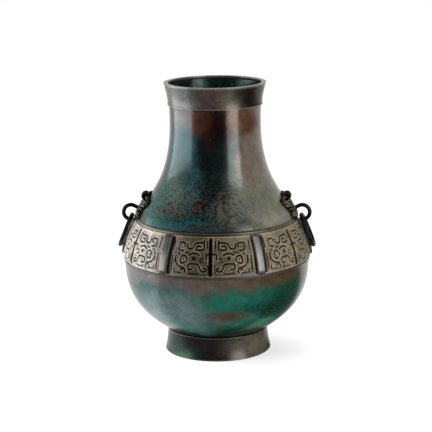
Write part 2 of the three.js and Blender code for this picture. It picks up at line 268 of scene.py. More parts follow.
# %% The line of the wall
HEIGHT = 300
WALL = 3.2  # thickness
GAP = 0.3  # between two pieces that are soldered together
BELLY_RADIUS = 102.7
BELLY_HEIGHT = 109
NECK_RADIUS = 49.9
NECK_HEIGHT = 254
SPIGOT_RADIUS = 53.6
FOOT_HEIGHT = 25
COLLAR_HEIGHT = 24
LIP_THICKNESS = 3
MOUTH_RADIUS = 54  # where the neck ends, inside the collar
FLARE_RADIUS = 50.5  # where the collar starts
SOCKET_PULL = (43, 25.6)  # from the socket to the handle that pulls the belly's curve out
BELLY_PULL = 33.7  # from the widest point down to the other handle
SHOULDER = [
    (0.034, 0.997),
    (0.138, 0.912),
    (0.241, 0.775),
    (0.366, 0.602),
    (0.49, 0.373),
    (0.614, 0.193),
    (0.738, 0.085),
    (0.862, 0.023),
]  # share of the climb from the belly to the neck, and of the swell that is left there
belly_floor = FOOT_HEIGHT + GAP
flare_start = HEIGHT - COLLAR_HEIGHT
neck_end = HEIGHT - LIP_THICKNESS - GAP
CURVE_POINTS = 25  # on each stretch of a smooth curve


def through(points, tension=0.5, closed=False):
    knots = [Vector(p) for p in points]
    count = len(knots)
    line = [] if closed else [knots[0]]
    reach = tension / 3
    for i in range(count if closed else count - 1):
        before, here, after, beyond = (
            knots[j % count] if closed else knots[min(max(j, 0), count - 1)] for j in range(i - 1, i + 3)
        )
        leaving = here + (after - before) * reach
        arriving = after - (beyond - here) * reach
        line += interpolate_bezier(here, leaving, arriving, after, CURVE_POINTS)[1:]
    return line


belly = interpolate_bezier(
    Vector((SPIGOT_RADIUS, belly_floor)),
    Vector((SPIGOT_RADIUS + SOCKET_PULL[0], belly_floor + SOCKET_PULL[1])),
    Vector((BELLY_RADIUS, BELLY_HEIGHT - BELLY_PULL)),
    Vector((BELLY_RADIUS, BELLY_HEIGHT)),
    120,
)
swell = BELLY_RADIUS - NECK_RADIUS
rise = NECK_HEIGHT - BELLY_HEIGHT
shoulder = [(NECK_RADIUS + swell * left, BELLY_HEIGHT + rise * up) for up, left in SHOULDER]
neck = [(NECK_RADIUS, NECK_HEIGHT), (FLARE_RADIUS, flare_start), (MOUTH_RADIUS, neck_end)]
upper = through([(BELLY_RADIUS, BELLY_HEIGHT), *shoulder, *neck])
wall = np.array([tuple(p) for p in belly + upper[1:]])
wall_radius, wall_height = wall.T
wall_slope = np.gradient(wall_radius, wall_height)
wall_run = np.concatenate([[0], np.cumsum(np.hypot(*np.diff(wall, axis=0).T))])


def off_wall(z, h=0.0):
    radius = np.interp(z, wall_height, wall_radius)
    slope = np.interp(z, wall_height, wall_slope)
    tilt = np.sqrt(1 + slope**2)
    return radius + h / tilt, z - h * slope / tilt


def climbed(start, run):
    return np.interp(np.interp(start, wall_height, wall_run) + run, wall_run, wall_height)


def climb(low, high, count):
    runs = np.interp([low, high], wall_height, wall_run)
    return np.interp(np.linspace(*runs, count + 1), wall_run, wall_height)


print("wall line", len(wall), "points,", round(wall_run[-1], 1), "mm long")

# %% [markdown]
# ## Making pieces
# Each piece is built in millimetres in a bmesh, then made an object in metres, ridden on its
# body and given its material. Turned pieces start as a closed outline in the plane
# of the axis and are spun all the way round, as their patterns for casting were turned. Edges
# of cast metal are never sharp, so those that show are bevelled.

# %% Making pieces
ROUND = 240  # steps of a full turn


def finish(bm, name, material, nodes, body="vessel", soft=40):
    bmesh.ops.recalc_face_normals(bm, faces=bm.faces)
    bmesh.ops.scale(bm, vec=(MM, MM, MM), verts=bm.verts)
    mesh = as_mesh(bm, name)
    mesh.materials.append(material)
    mesh.shade_smooth()
    mesh.set_sharp_from_angle(angle=math.radians(soft))
    piece = in_scene(name, mesh)
    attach(piece, body)
    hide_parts(*nodes)
    print(name, len(mesh.polygons), "faces")


def rotate(bm, matrix):
    bmesh.ops.rotate(bm, verts=bm.verts, cent=(0, 0, 0), matrix=matrix)


def shift(bm, way):
    bmesh.ops.translate(bm, verts=bm.verts, vec=way)


def to_side(bm, side):
    rotate(bm, Matrix.Rotation(side, 3, "Z"))


def spin_round(bm, geom, centre, axis, steps):
    turn = 2 * math.pi
    bmesh.ops.spin(bm, geom=geom, cent=centre, axis=axis, angle=turn, steps=steps, use_merge=True)


def turned(outline, bevel=0.0, steps=ROUND):
    bm = bmesh.new()
    points = [bm.verts.new((r, 0, z)) for r, z in outline]
    edges = [bm.edges.new(pair) for pair in zip(points, points[1:] + points[:1])]
    spin_round(bm, points + edges, (0, 0, 0), (0, 0, 1), steps)
    bmesh.ops.remove_doubles(bm, verts=bm.verts, dist=0.001)
    bmesh.ops.recalc_face_normals(bm, faces=bm.faces)
    if bevel:
        round_off(bm, bevel)
    return bm


def round_off(bm, size, sharper_than=35):
    corner = [e for e in bm.edges if e.is_manifold and e.calc_face_angle(0) > math.radians(sharper_than)]
    bmesh.ops.bevel(
        bm, geom=corner, offset=size, segments=3, profile=0.5, affect="EDGES", clamp_overlap=True
    )


def wear_and_highlight_edges(bm, edges, width=0.8, most=1.0):
    # Hands and cloths wear an edge bright, and the same pale line stands in for the highlight that
    # an edge catches: each vertex keeps how close it lies to such an edge
    layer = bm.verts.layers.float.new("worn")
    for v in bm.verts:
        radius = math.hypot(v.co.x, v.co.y)
        nearest = min(math.hypot(radius - r, v.co.z - z) for r, z in edges)
        v[layer] = most * max(0.0, 1 - nearest / width)
    return bm


def grid(columns, rows):
    bm = bmesh.new()
    bmesh.ops.create_grid(bm, x_segments=columns, y_segments=rows, size=0.5)
    return bm


def only(kind, geom):
    return [g for g in geom if isinstance(g, kind)]


def open_edges(edges):
    return [e for e in edges if e.is_boundary]


print("a full turn has", ROUND, "steps")

# %% [markdown]
# ## Patinated bronze
# The wall is cast bronze whose skin was coloured by heat and salts and then waxed: greens
# from copper salts, browns and reds from copper oxides, worn smooth so that it still shines
# like metal. A painter would lay it in as large soft stains, break their edges, and then add
# flecks. The material does the same: each stain is an ellipse on the unrolled wall, placed
# by its angle from the front and its height, and noise warps the map so that no edge is
# clean. The metal part tints what it mirrors, so a stain keeps its colour in a reflection.
# A few of the ellipses are painted light rather than stains: a pale reflection of the floor on the lower
# left of the belly, shadow under the belly above the foot, and shade inside the mouth.

# %% Stains and painted light on the unrolled wall
STAINS_AND_PAINTED_LIGHT = [
    # colour, angle and height of the middle, half width, half height, strength, softness if not 0.8
    ("#a29685", 50, 222, 40, 90, 0.9, 0.5),
    ("#b4b3a1", 46, 178, 40, 30, 0.88),
    ("#285054", -52, 236, 40, 40, 0.9, 0.6),
    ("#0b5444", -56, 176, 40, 28, 0.92, 0.6),
    ("#24484c", -34, 196, 20, 14, 0.8, 0.7),
    ("#0c1f1e", 0, 228, 25, 55, 0.95, 0.4),
    ("#26302e", -2, 182, 27, 22, 0.7, 0.7),
    ("#13806a", -56, 172, 16, 14, 0.75),
    ("#128a78", -42, 158, 14, 9, 0.75),
    ("#1d8083", -20, 157, 11, 7, 0.8),
    ("#30606c", -22, 226, 6, 24, 0.7),
    ("#527a82", -23, 194, 9, 18, 0.8),
    ("#90a49b", -37, 182, 16, 15, 0.7),
    ("#424f4e", 22, 214, 8, 36, 0.6),
    ("#a2a398", 24, 175, 16, 14, 0.75),
    ("#cccbb7", 44, 158, 13, 11, 0.6),
    ("#a48876", 43, 208, 8, 22, 0.55),
    ("#4e5f5e", 29, 232, 9, 28, 0.6),
    ("#8f9c80", 50, 180, 14, 12, 0.55),
    ("#74473c", -44, 170, 9, 5, 0.6),
    ("#3d4440", 18, 152, 14, 7, 0.8),
    ("#19686a", -26, 157, 22, 11, 0.88),
    ("#80625c", -28, 172, 16, 5, 0.5),
    ("#5c767a", -22, 182, 12, 10, 0.7),
    ("#74382c", -12, 180, 6, 5, 0.8),
    ("#6a4236", 12, 189, 5, 4, 0.6),
    ("#528588", -26, 155, 20, 7, 0.72, 0.7),
    ("#5a2a28", -10, 154, 9, 3, 0.6),
    ("#66362a", -14, 264, 14, 15, 0.85, 0.6),
    ("#220d08", 8, 262, 15, 20, 0.9, 0.6),
    ("#43190f", -5, 240, 5, 9, 0.7),
    ("#74432e", 45, 264, 20, 14, 0.88, 0.6),
    ("#756c66", -50, 268, 22, 10, 0.6),
    ("#8c7c76", 0, 100, 200, 10, 0.9, 0.5),
    ("#9e9498", -44, 99, 32, 9, 0.8),
    ("#93705f", 10, 99, 34, 7, 0.7),
    ("#6c4a33", 50, 97, 26, 9, 0.95, 0.6),
    ("#8f7a62", 20, 91, 20, 7, 0.62),
    ("#5f8c88", -44, 66, 46, 27, 0.88, 0.7),
    # a pale painted reflection of the floor, on the lower left of the belly
    ("#a4bcb8", -21, 77, 14, 11, 0.65, 0.9),
    ("#067253", 32, 64, 50, 26, 0.97, 0.45),
    ("#01503a", 48, 72, 16, 9, 0.7),
    ("#3aa18b", 12, 81, 26, 9, 0.8),
    ("#60c2a8", 20, 58, 12, 9, 0.65),
    ("#835a48", 9, 64, 12, 8, 0.9, 0.7),
    # a pale painted reflection of the floor, on the lower left of the belly
    ("#b4ced0", -24, 57, 22, 18, 0.86, 0.9),
    ("#0c6450", 0, 40, 200, 9, 0.88, 0.7),
    # a pale painted reflection of the floor, on the lower left of the belly
    ("#a0dcd6", -20, 42, 18, 11, 0.88),
    ("#80d8b4", 42, 42, 14, 9, 0.8),
    # painted shadow under the belly's inward curve, all round just above the foot
    ("#0c2f22", 0, 27, 200, 5, 0.9, 0.7),
    # inside the mouth: its own dark patina, deepened as painted shade
    ("#0a1813", 180, 288, 200, 11, 1.0, 0.2),
    ("#0c4a38", 180, 284, 60, 9, 0.9, 0.6),
    ("#1c8468", 146, 285, 18, 8, 0.9, 0.6),
    ("#1c110c", -80, 287, 40, 14, 0.9, 0.6),
    ("#1b5a48", 120, 80, 50, 34, 0.8, 0.7),
    ("#20403c", 150, 200, 44, 60, 0.8),
    ("#3d5a57", -150, 240, 40, 44, 0.7),
    ("#5a4a42", -110, 84, 34, 26, 0.7),
    ("#1d5a48", -165, 70, 30, 30, 0.7),
    ("#5a2f22", 110, 262, 40, 14, 0.7),
    ("#35665a", -100, 160, 40, 24, 0.7),
    ("#5c4640", 175, 160, 30, 14, 0.7, 0.9),
]
PITTED = [
    # the same measures as a stain's, without the colour
    (-8, 178, 34, 30),
    (-58, 176, 34, 28),
    (150, 170, 40, 24),
    (46, 68, 22, 16, 0.7),
    # inside the mouth, where the dark flecks also deepen the painted shade
    (180, 286, 110, 9),
]
print("stains", len(STAINS_AND_PAINTED_LIGHT), "pitted fields", len(PITTED))

# %% One stain
WARP = (0.7, 0.7, 40)  # how far noise moves the map: radii across, millimetres up


def around(tree, where):
    # A point on a drum: x and y on a circle of radius one, z the height in millimetres
    part = node(tree, "SeparateXYZ", {0: where}).outputs
    across = node(tree, "CombineXYZ", {0: part["X"], 1: part["Y"]}).outputs[0]
    unit = node(tree, "VectorMath", {0: across}, operation="NORMALIZE").outputs[0]
    upright = node(tree, "CombineXYZ", {2: times(tree, part["Z"], 1 / MM)}).outputs[0]
    return vector_maths(tree, "ADD", unit, upright)[0]


def warped(tree, where):
    wide = noise(tree, where, 40, 8, 0.65)["Color"]
    centred = vector_maths(tree, "SUBTRACT", wide, (0.5, 0.5, 0.5))[0]
    moved = {0: centred, 1: WARP, 2: around(tree, where)}
    return node(tree, "VectorMath", moved, operation="MULTIPLY_ADD").outputs[0]


def stain(tree, drum, turn, z, half_turn, half_height, strength=1.0, softness=0.8):
    wide = 2 * math.sin(math.radians(min(half_turn, 180)) / 2)
    x, y = math.sin(math.radians(turn)), -math.cos(math.radians(turn))
    middle = (-x / wide, -y / wide, -z / half_height)
    scale = (1 / wide, 1 / wide, 1 / half_height)
    reach = node(tree, "Mapping", {"Vector": drum, "Location": middle, "Scale": scale}).outputs[0]
    far = node(tree, "VectorMath", {0: reach}, operation="LENGTH").outputs["Value"]
    return level(tree, far, 1 + softness, 1 - softness, 0, strength)


# %% A patina from its stains
def patina(name, stains, ground, gloss, pitted=()):
    material, tree, where = new_material(name)
    drum = warped(tree, where)
    skin = colour(ground)
    for swatch, *field in stains:
        skin = mix(tree, stain(tree, drum, *field), skin, colour(swatch))
    # Cloudiness of the salts, about a fingertip across, and their fine grain
    cloud = noise(tree, where, 9, 8, 0.7)["Fac"]
    grain = noise(tree, where, 2, 4, 0.6)["Fac"]
    skin = scaled(tree, skin, level(tree, cloud, 0.3, 0.7, 0.7, 1.3, "LINEAR"))
    skin = mix(tree, level(tree, grain, 0.68, 0.73, 0, 0.5), skin, colour("#8d9690"))
    rough = level(tree, cloud, 0.3, 0.7, gloss - 0.04, gloss + 0.06, "LINEAR")
    height = grain
    if pitted:
        # Corrosion pits: dark flecks two or three millimetres long, crowded in some places
        fleck = noise(tree, where, 2.8, 3, 0.6)["Fac"]
        crowd = stain(tree, drum, *pitted[0])
        for field in pitted[1:]:
            crowd = maths(tree, "MAXIMUM", crowd, stain(tree, drum, *field))
        pits = times(tree, level(tree, fleck, 0.53, 0.57, 0, 0.92), crowd)
        blotch = times(tree, level(tree, cloud, 0.5, 0.6, 0, 0.7), crowd)
        crust = times(tree, times(tree, level(tree, fleck, 0.42, 0.34), crowd), 0.4)
        for cover, swatch in ((pits, "#050807"), (blotch, "#081c17"), (crust, "#3f8f7c")):
            skin = mix(tree, cover, skin, colour(swatch))
        rough = maths(tree, "ADD", rough, times(tree, crowd, 0.08))
        height = maths(tree, "SUBTRACT", height, pits)
    # Edges near the listed lines are painted pale, partly as wear and partly as a painted highlight
    worn = node(tree, "Attribute", attribute_name="worn").outputs["Fac"]
    skin = mix(tree, times(tree, worn, 0.85), skin, colour("#b8ada0"))
    normal = bump(tree, cloud, 0.2, 0.4, Normal=bump(tree, height, 0.3, 0.12))
    wax = {"Coat_Weight": 0.12, "Coat_Roughness": 0.1}
    return metal(material, Base_Color=skin, Metallic=0.35, Roughness=rough, Normal=normal, **wax)


# %% The four patinas
wall_patina = patina("waxed green and brown patina", STAINS_AND_PAINTED_LIGHT, "#303a36", 0.17, PITTED)
COLLAR_STAINS = [
    ("#737a78", -40, 288, 26, 20, 0.85),
    ("#62504e", 0, 288, 22, 20, 0.7),
    ("#887c73", 24, 286, 14, 14, 0.8),
    ("#1c0f06", 56, 288, 26, 20, 0.97, 0.6),
    ("#453228", 140, 288, 40, 20, 0.8),
]
collar_patina = patina("brown oxide patina", COLLAR_STAINS, "#5d534c", 0.26)
FOOT_STAINS_AND_HIGHLIGHT = [
    ("#0d1713", -52, 12, 40, 20, 0.95),
    ("#0b5a40", -46, 5, 22, 7, 0.9),
    ("#3c3438", -18, 16, 12, 9, 0.7),
    # a grey painted highlight on the foot's front right
    ("#675f56", 27, 14, 18, 14, 0.7, 0.9),
    ("#938e76", 58, 12, 24, 16, 0.85),
    ("#26503f", 150, 10, 30, 12, 0.7),
]
foot_patina = patina("dark brown oxide patina", FOOT_STAINS_AND_HIGHLIGHT, "#352c26", 0.26)
MOULDING_STAINS = [
    ("#7f785f", -62, 150, 30, 8, 0.9, 0.7),
    ("#857a64", 58, 150, 30, 8, 0.9, 0.7),
    ("#7a7058", 120, 150, 30, 8, 0.8),
    ("#6f6a52", -130, 150, 30, 8, 0.8),
    ("#5b585c", 0, 106, 200, 6, 0.8, 0.4),
]
moulding_patina = patina("rubbed moulding bronze with painted highlight", MOULDING_STAINS, "#393531", 0.32)

# %% [markdown]
# ## Relief bronze, ribs and bars
# The frieze was left as cast and then rubbed with a buff clay wash, which stays in the low
# places as dark dirt and on the high ones as a worn pale skin; the pale lips are partly a
# painted highlight too. The relief itself is real geometry, and each vertex carries how deep
# in a groove it lies, together with painted shade beside the ribs and on the masks, so the
# material can darken the grooves and pale the lips. Ribs, loops and rings were handled until
# smooth, so their bronze is plainer: grey for the ribs and nearly black for the bars.

# %% Relief bronze
TINTS = [
    # channel of the noise, where a patch starts, where it is full, its tint
    ("X", 0.5, 0.62, (1.04, 0.88, 0.83, 1)),
    ("Y", 0.54, 0.66, (0.88, 0.9, 0.68, 1)),
    ("Z", 0.56, 0.66, (0.82, 0.98, 1.08, 1)),
]
WASH_HEIGHT = 127
WASH_REACH = 90  # well past both edges of the frieze


def relief_bronze(name, ground, wash_and_sheen):
    material, tree, where = new_material(name)
    depth = node(tree, "Attribute", attribute_name="groove_dirt_and_painted_light").outputs["Fac"]
    drum = around(tree, where)
    wide = noise(tree, where, 11, 4, 0.6)
    patches = node(tree, "SeparateXYZ", {0: wide["Color"]}).outputs
    # High places and lips are painted pale buff, partly as worn skin and partly as a painted highlight
    skin = mix(tree, level(tree, depth, 0.26, 0.04, 0, 0.7), colour(ground), colour("#b5a98c"))
    dirt_and_painted_shade = colour("#0d0b08")
    # Each patch pales the skin and greys the dirt; the near-white one at the left is a painted sheen
    for turn, half_turn, strength, swatch in wash_and_sheen:
        pale = stain(tree, drum, turn, WASH_HEIGHT, half_turn, WASH_REACH, strength, softness=0.5)
        skin = mix(tree, pale, skin, colour(swatch))
        dirt_and_painted_shade = mix(tree, pale, dirt_and_painted_shade, colour("#514836"))
    for channel, low, high, tint in TINTS:
        cast = mix(tree, level(tree, patches[channel], low, high), WHITE, tint)
        skin = vector_maths(tree, "MULTIPLY", skin, cast)[0]
    skin = scaled(tree, skin, level(tree, wide["Fac"], 0.35, 0.62, 0.74, 1.16))
    grain = noise(tree, where, 1.5, 6, 0.7)["Fac"]
    skin = scaled(tree, skin, level(tree, grain, 0.3, 0.7, 0.55, 1.4, "LINEAR"))
    return metal(
        material,
        # Deep places take the dark colour: dirt in the grooves, and painted shade beside the ribs, on the
        # masks' edges and inside their crests
        Base_Color=mix(tree, level(tree, depth, 0.3, 0.7), skin, dirt_and_painted_shade),
        Metallic=0.25,
        Roughness=level(tree, depth, 0.3, 0.7, 0.5, 0.9),
        Specular_IOR_Level=level(tree, depth, 0.3, 0.7, 0.5, 0.02),
        Normal=bump(tree, grain, 0.6, 0.25),
    )


# The wash is thicker and paler towards both handles than on the front panel, and near white at
# the left, where it is also a painted sheen from the light on that side
SIDE_WASH_AND_SHEEN = [
    # angle and half width, strength, colour
    # near white: the wash with a painted sheen from the light at the left
    (-68, 38, 0.96, "#fffaf2"),
    (58, 42, 0.6, "#d2c7af"),
    (130, 20, 0.4, "#cdc2a8"),
    (-140, 24, 0.4, "#cdc2a8"),
]
buff = relief_bronze("buff relief bronze", "#6d654d", SIDE_WASH_AND_SHEEN)
mask_bronze = relief_bronze("worn mask bronze with painted shade", "#5a5240", [])


# %% Ribs and bars
def polished_bronze(name, light, dark, roughness, metallic, dents=0.1):
    material, tree, where = new_material(name)
    cloud = noise(tree, where, 6, 5, 0.6)["Fac"]
    worn = level(tree, cloud, 0.35, 0.65, curve="LINEAR")
    return metal(
        material,
        Base_Color=mix(tree, worn, colour(dark), colour(light)),
        Metallic=metallic,
        Roughness=level(tree, cloud, 0.3, 0.7, roughness - 0.05, roughness + 0.05),
        Normal=bump(tree, cloud, 0.15, dents),
    )


rib_bronze = polished_bronze("rubbed rib bronze", "#8b8a88", "#737170", 0.32, 0.75, dents=0.03)
bar_bronze = polished_bronze("handled dark bronze", "#2b2c2e", "#141516", 0.42, 0.5)

# %% [markdown]
# ## Vessel, collar, foot and borders
# These are turned pieces, each from its own outline. The vessel keeps the shallow recess that
# the frieze lies in, and its neck is cut back for the collar.

# %% Vessel
FRIEZE_BOTTOM = 107
FRIEZE_TOP = 148
RECESS = 1.5
BEHIND = 0.5  # clearance behind the pieces in the recess
LOWER_BORDER = 2.2
UPPER_BORDER = 3.2
REBATE = 1.2
SOCKET_DEPTH = 3
recess_bottom = FRIEZE_BOTTOM - GAP - LOWER_BORDER - GAP
recess_top = FRIEZE_TOP + GAP + UPPER_BORDER + GAP
shelf = FOOT_HEIGHT - SOCKET_DEPTH


def along_wall(heights, h=0.0):
    return list(zip(*off_wall(np.asarray(heights, float), h)))


def vessel():
    spigot_end = shelf + GAP
    edge = flare_start - GAP
    outside = [
        (SPIGOT_RADIUS - WALL, spigot_end),
        (SPIGOT_RADIUS, spigot_end),
        *along_wall(climb(belly_floor, recess_bottom, 60)),
        *along_wall(climb(recess_bottom, recess_top, 30), -RECESS),
        *along_wall(climb(recess_top, edge, 90)),
        *along_wall([edge, (edge + neck_end) / 2], -REBATE),
        (off_wall(neck_end)[0] - REBATE, neck_end),
    ]
    inside = [
        (MOUTH_RADIUS - WALL, neck_end),
        *reversed(along_wall(climb(belly_floor, flare_start, 110), -WALL)),
        (SPIGOT_RADIUS - WALL, belly_floor + WALL / 2),
    ]
    return turned(outside + inside)


finish(vessel(), "vessel_wall", wall_patina, ["vessel_body"])

# %% Collar
COLLAR_LIP = 56  # outer radius of the lip
COLLAR_BORE = 51
COLLAR_WAIST = 51.6
COLLAR_EDGE = 52
EDGE_WIDTH = 1.2
FLARE_FROM = 1.4  # height above the lower edge
FLARE_PULL = 9


def arc(start, pull, end):
    start, pull, end = Vector(start), Vector(pull), Vector(end)
    line = interpolate_bezier(start, start.lerp(pull, 2 / 3), end.lerp(pull, 2 / 3), end, 12)
    return [tuple(p) for p in line]


def collar():
    seat = along_wall([flare_start, (flare_start + neck_end) / 2], GAP - REBATE)
    neck_seat = off_wall(neck_end)[0] + GAP - REBATE
    waist = (COLLAR_WAIST, flare_start + FLARE_FROM)
    return turned(
        [
            *seat,
            (neck_seat, neck_end),
            (neck_seat, neck_end + GAP),
            (COLLAR_BORE, neck_end + GAP),
            (COLLAR_BORE, HEIGHT),
            *arc((COLLAR_LIP, HEIGHT), (COLLAR_WAIST, flare_start + FLARE_PULL), waist),
            (COLLAR_EDGE, flare_start + EDGE_WIDTH),
            (COLLAR_EDGE, flare_start),
        ],
        bevel=0.3,
    )


# The lip and the lower edge of the collar are painted pale, partly as wear and partly as a painted
# highlight
handled = [(COLLAR_BORE, HEIGHT), (COLLAR_LIP, HEIGHT), (COLLAR_EDGE, flare_start + EDGE_WIDTH / 2)]
finish(wear_and_highlight_edges(collar(), handled), "collar", collar_patina, ["mouth_collar"])

# %% Foot
FOOT_RADIUS = 59.2
FOOT_WALL = 4
FOOT_WAIST = 55.8
FOOT_EDGE = 56.3
FOOT_EDGE_WIDTH = 1.1
FOOT_FLARE_FROM = 1.4  # below the upper edge
FOOT_PULL = (56.3, 10)
SHELF_BORE = 44
SHELF_THICKNESS = 3
SHELF_CORNER = 2


def foot():
    socket = SPIGOT_RADIUS + GAP
    return turned(
        [
            (FOOT_RADIUS - FOOT_WALL, 0),
            *arc((FOOT_RADIUS, 0), FOOT_PULL, (FOOT_WAIST, FOOT_HEIGHT - FOOT_FLARE_FROM)),
            (FOOT_EDGE, FOOT_HEIGHT - FOOT_EDGE_WIDTH),
            (FOOT_EDGE, FOOT_HEIGHT),
            (socket, FOOT_HEIGHT),
            (socket, shelf),
            (SHELF_BORE, shelf),
            (SHELF_BORE, shelf - SHELF_THICKNESS),
            (socket - SHELF_CORNER, shelf - SHELF_THICKNESS),
        ],
        bevel=0.5,
    )


# The foot's upper and lower edges are painted pale, partly as wear and partly as a painted highlight
scuffed_and_highlit_edges = [(FOOT_EDGE, FOOT_HEIGHT), (FOOT_RADIUS, 0)]
finish(wear_and_highlight_edges(foot(), scuffed_and_highlit_edges), "foot", foot_patina, ["foot_ring"])
frame["nodes"]["base_plate"].data.materials.clear()
frame["nodes"]["base_plate"].data.materials.append(foot_patina)

# %% Borders
BORDER_PROUD = 1.1
BORDER_CROWN = 0.5


def border(bottom, width):
    heights = np.linspace(bottom, bottom + width, 5)
    crown = np.array([0.0, 0.75, 1.0, 0.75, 0.0]) * BORDER_CROWN
    face = along_wall(heights, BORDER_PROUD - BORDER_CROWN + crown)
    back = along_wall([bottom + width, bottom], BEHIND - RECESS)
    # The crown line is painted pale, partly as wear and partly as a painted highlight
    return wear_and_highlight_edges(turned(face + back), [face[2]], 0.6, 0.35)


borders = {"lower": (recess_bottom + GAP, LOWER_BORDER), "upper": (FRIEZE_TOP + GAP, UPPER_BORDER)}
for place, (bottom, width) in borders.items():
    finish(border(bottom, width), f"{place}_moulding", moulding_patina, [f"{place}_border"])

# %% [markdown]
# ## Frieze panels
# Each panel shows one animal mask split down the middle and opened flat, in the traditional
# manner: horns and brow above, an eye, a jaw below, and a curled body outside. The lines were
# cut into the casting pattern as grooves with rounded lips. Here a fine grid is laid on the
# wall and every point is lowered by its distance to the nearest groove, which keeps the
# lips' light and the grooves' shadow real from any side. The colour also pales the lips,
# partly as a painted highlight, and darkens the ground beside the ribs as their painted shadow.

# %% Strokes of one half panel, from its middle outwards
GROOVES = [
    # points across and up, in millimetres
    [(28, 140.5), (27.3, 136.8), (24, 135.4), (21, 136.5), (19.5, 139.5), (17, 141.4)]
    + [(9, 141.6), (8.4, 135.3), (15.5, 134.7), (17.3, 136.5), (15.3, 138.6), (12, 138.3)],
    [(8.4, 141.6), (8.4, 144)],
    [(13.3, 129.7), (17, 131.3), (21, 131.3), (25, 129.6)],
    [(20.5, 115.4), (23.5, 115.2), (25, 116.6), (25, 119.6), (23.4, 120.8), (15.5, 120.9)]
    + [(13.2, 119), (12, 116), (10.5, 113.8), (7.5, 113.3), (5.8, 114.6), (6, 116.3), (8.6, 116.9)],
    [(27, 123.6), (26.8, 126.4), (29, 128.6), (32.5, 128.4)]
    + [(33.8, 126), (33.6, 121.8), (31, 121.2), (28.9, 122.3)],
    [(30.4, 125.3), (30.6, 125.3)],
    [(30.8, 137.6), (30.9, 140.6), (34, 141.4), (37.6, 140.8), (38.2, 136), (36, 133.8), (31.8, 133.5)],
    [(40, 128.5), (39.6, 123), (37, 118.8), (33, 117), (29.5, 116.2), (28.3, 113.6), (29, 111.4)],
    [(33, 114.6), (31.2, 114.9)],
    [(44, 134), (44, 143.5)],
    [(44, 112), (44, 128)],
    [(0, 130.7), (5.6, 130.7), (5.6, 125.5)],
]
FINE_LINES = [
    [(48, 134), (48, 143.5)],
    [(48, 112), (48, 128)],
    [(4.6, 136.4), (4.6, 143)],
    [(36.6, 129.6), (36.4, 131.6)],
    [(8.6, 126.4), (11.4, 125.6)],
    [(9.4, 122.6), (12.4, 123.2)],
    [(14, 110.8), (23.6, 110.8), (23.6, 113)],
    [(33, 111.4), (40.4, 111.4), (40.4, 115)],
    [(41, 120.4), (41, 124.6)],
    [(24.6, 132.6), (29, 131.6)],
    [(3.6, 111), (3.6, 119.5)],
]
print("strokes", len(GROOVES), "and fine lines", len(FINE_LINES))


# %% Distance to a stroke, and profiles
def to_strokes(points, strokes):
    nearest = np.full(len(points), 1e9)
    for stroke in strokes:
        line = np.array(stroke, float)
        for a, b in zip(line, line[1:]):
            run = b - a
            share = np.clip((points - a) @ run / (run @ run), 0, 1)
            nearest = np.minimum(nearest, np.hypot(*(points - a - share[:, None] * run).T))
    return nearest


def ramp(value, low, high):
    share = np.clip((value - low) / (high - low), 0, 1)
    return share * share * (3 - 2 * share)


def hump(value, middle, width):
    return np.exp(-(((value - middle) / width) ** 2))


def oval(points, middle, half):
    return np.hypot(*((points - middle) / half).T)


def softened(stroke):
    # A stroke of a few points gets round bends, and a short one stays straight
    if len(stroke) <= 3:
        return stroke
    return [tuple(p) for p in through(stroke, tension=0.35)[::4]] + [stroke[-1]]


# %% Height and dirt of the relief
GROOVE_DEPTH = 0.8
GROUND_SHADE = 0.26
SPINE_SHIFT = -0.9  # the spine was cut a little to the left of the panel's middle
SPINE_HEIGHT = 127
SPINE_HALF = 17.5
EYE = (19, 126)
EYE_HALF = (5.5, 3.4)
PUPIL = (19, 126.4)
PUPIL_HALF = (1.7, 1.6)
grooves = [softened(stroke) for stroke in GROOVES]


def relief(across, z):
    points = np.column_stack([np.abs(across), z])
    near = to_strokes(points, grooves)
    fine = 0.55 * ramp(to_strokes(points, FINE_LINES), 0.75, 0.25)
    from_spine = np.hypot(across - SPINE_SHIFT, np.clip(np.abs(z - SPINE_HEIGHT) - SPINE_HALF, 0, None))
    cut = np.maximum(ramp(near, 0.95, 0.3), 1.2 * ramp(from_spine, 2.3, 1.3))
    lip = hump(near, 1.65, 0.45) * ramp(from_spine, 1.8, 3)
    lip = np.maximum(lip, hump(from_spine, 3, 0.6) * ramp(near, 0.9, 1.5))
    ripple = (hump(near, 2.65, 0.4) + 0.8 * hump(near, 4.3, 0.4)) * ramp(from_spine, 2, 4)
    bulge = 0.5 * ramp(oval(points, EYE, EYE_HALF), 1.1, 0.5)
    pit = ramp(oval(points, PUPIL, PUPIL_HALF), 1.2, 0.6)
    cut = np.maximum.reduce([cut, pit, fine])
    height = 0.3 * lip - 0.22 * ripple + bulge - GROOVE_DEPTH * cut
    # The colour's depth: lips paler, partly as wear and partly as a painted highlight; ripples and cuts
    # darker
    return height, np.clip(GROUND_SHADE - 0.22 * lip + 0.26 * ripple + cut, 0, 1)


print("grooves", sum(len(stroke) for stroke in grooves), "points")

# %% One panel on the wall
PANEL_PROUD = 0.8
PANEL_COLUMNS = 250
PANEL_ROWS = 98
BAYS = 6
TONGUE = 2  # width of the rib's tongue between two panels
SUNK = 0.4  # depth of the ground beside the ribs
SUNK_SHADOW_FIRST = (8.0, 6.2)  # where the sunk ground and its painted rib shadow begin and are full, from a panel's first side
SUNK_SHADOW_LAST = (5.2, 4.2)
RIM_LINE = 19.6  # from the panel's middle height
RIM_PROUD = 0.35
bay_turn = 2 * math.pi / BAYS


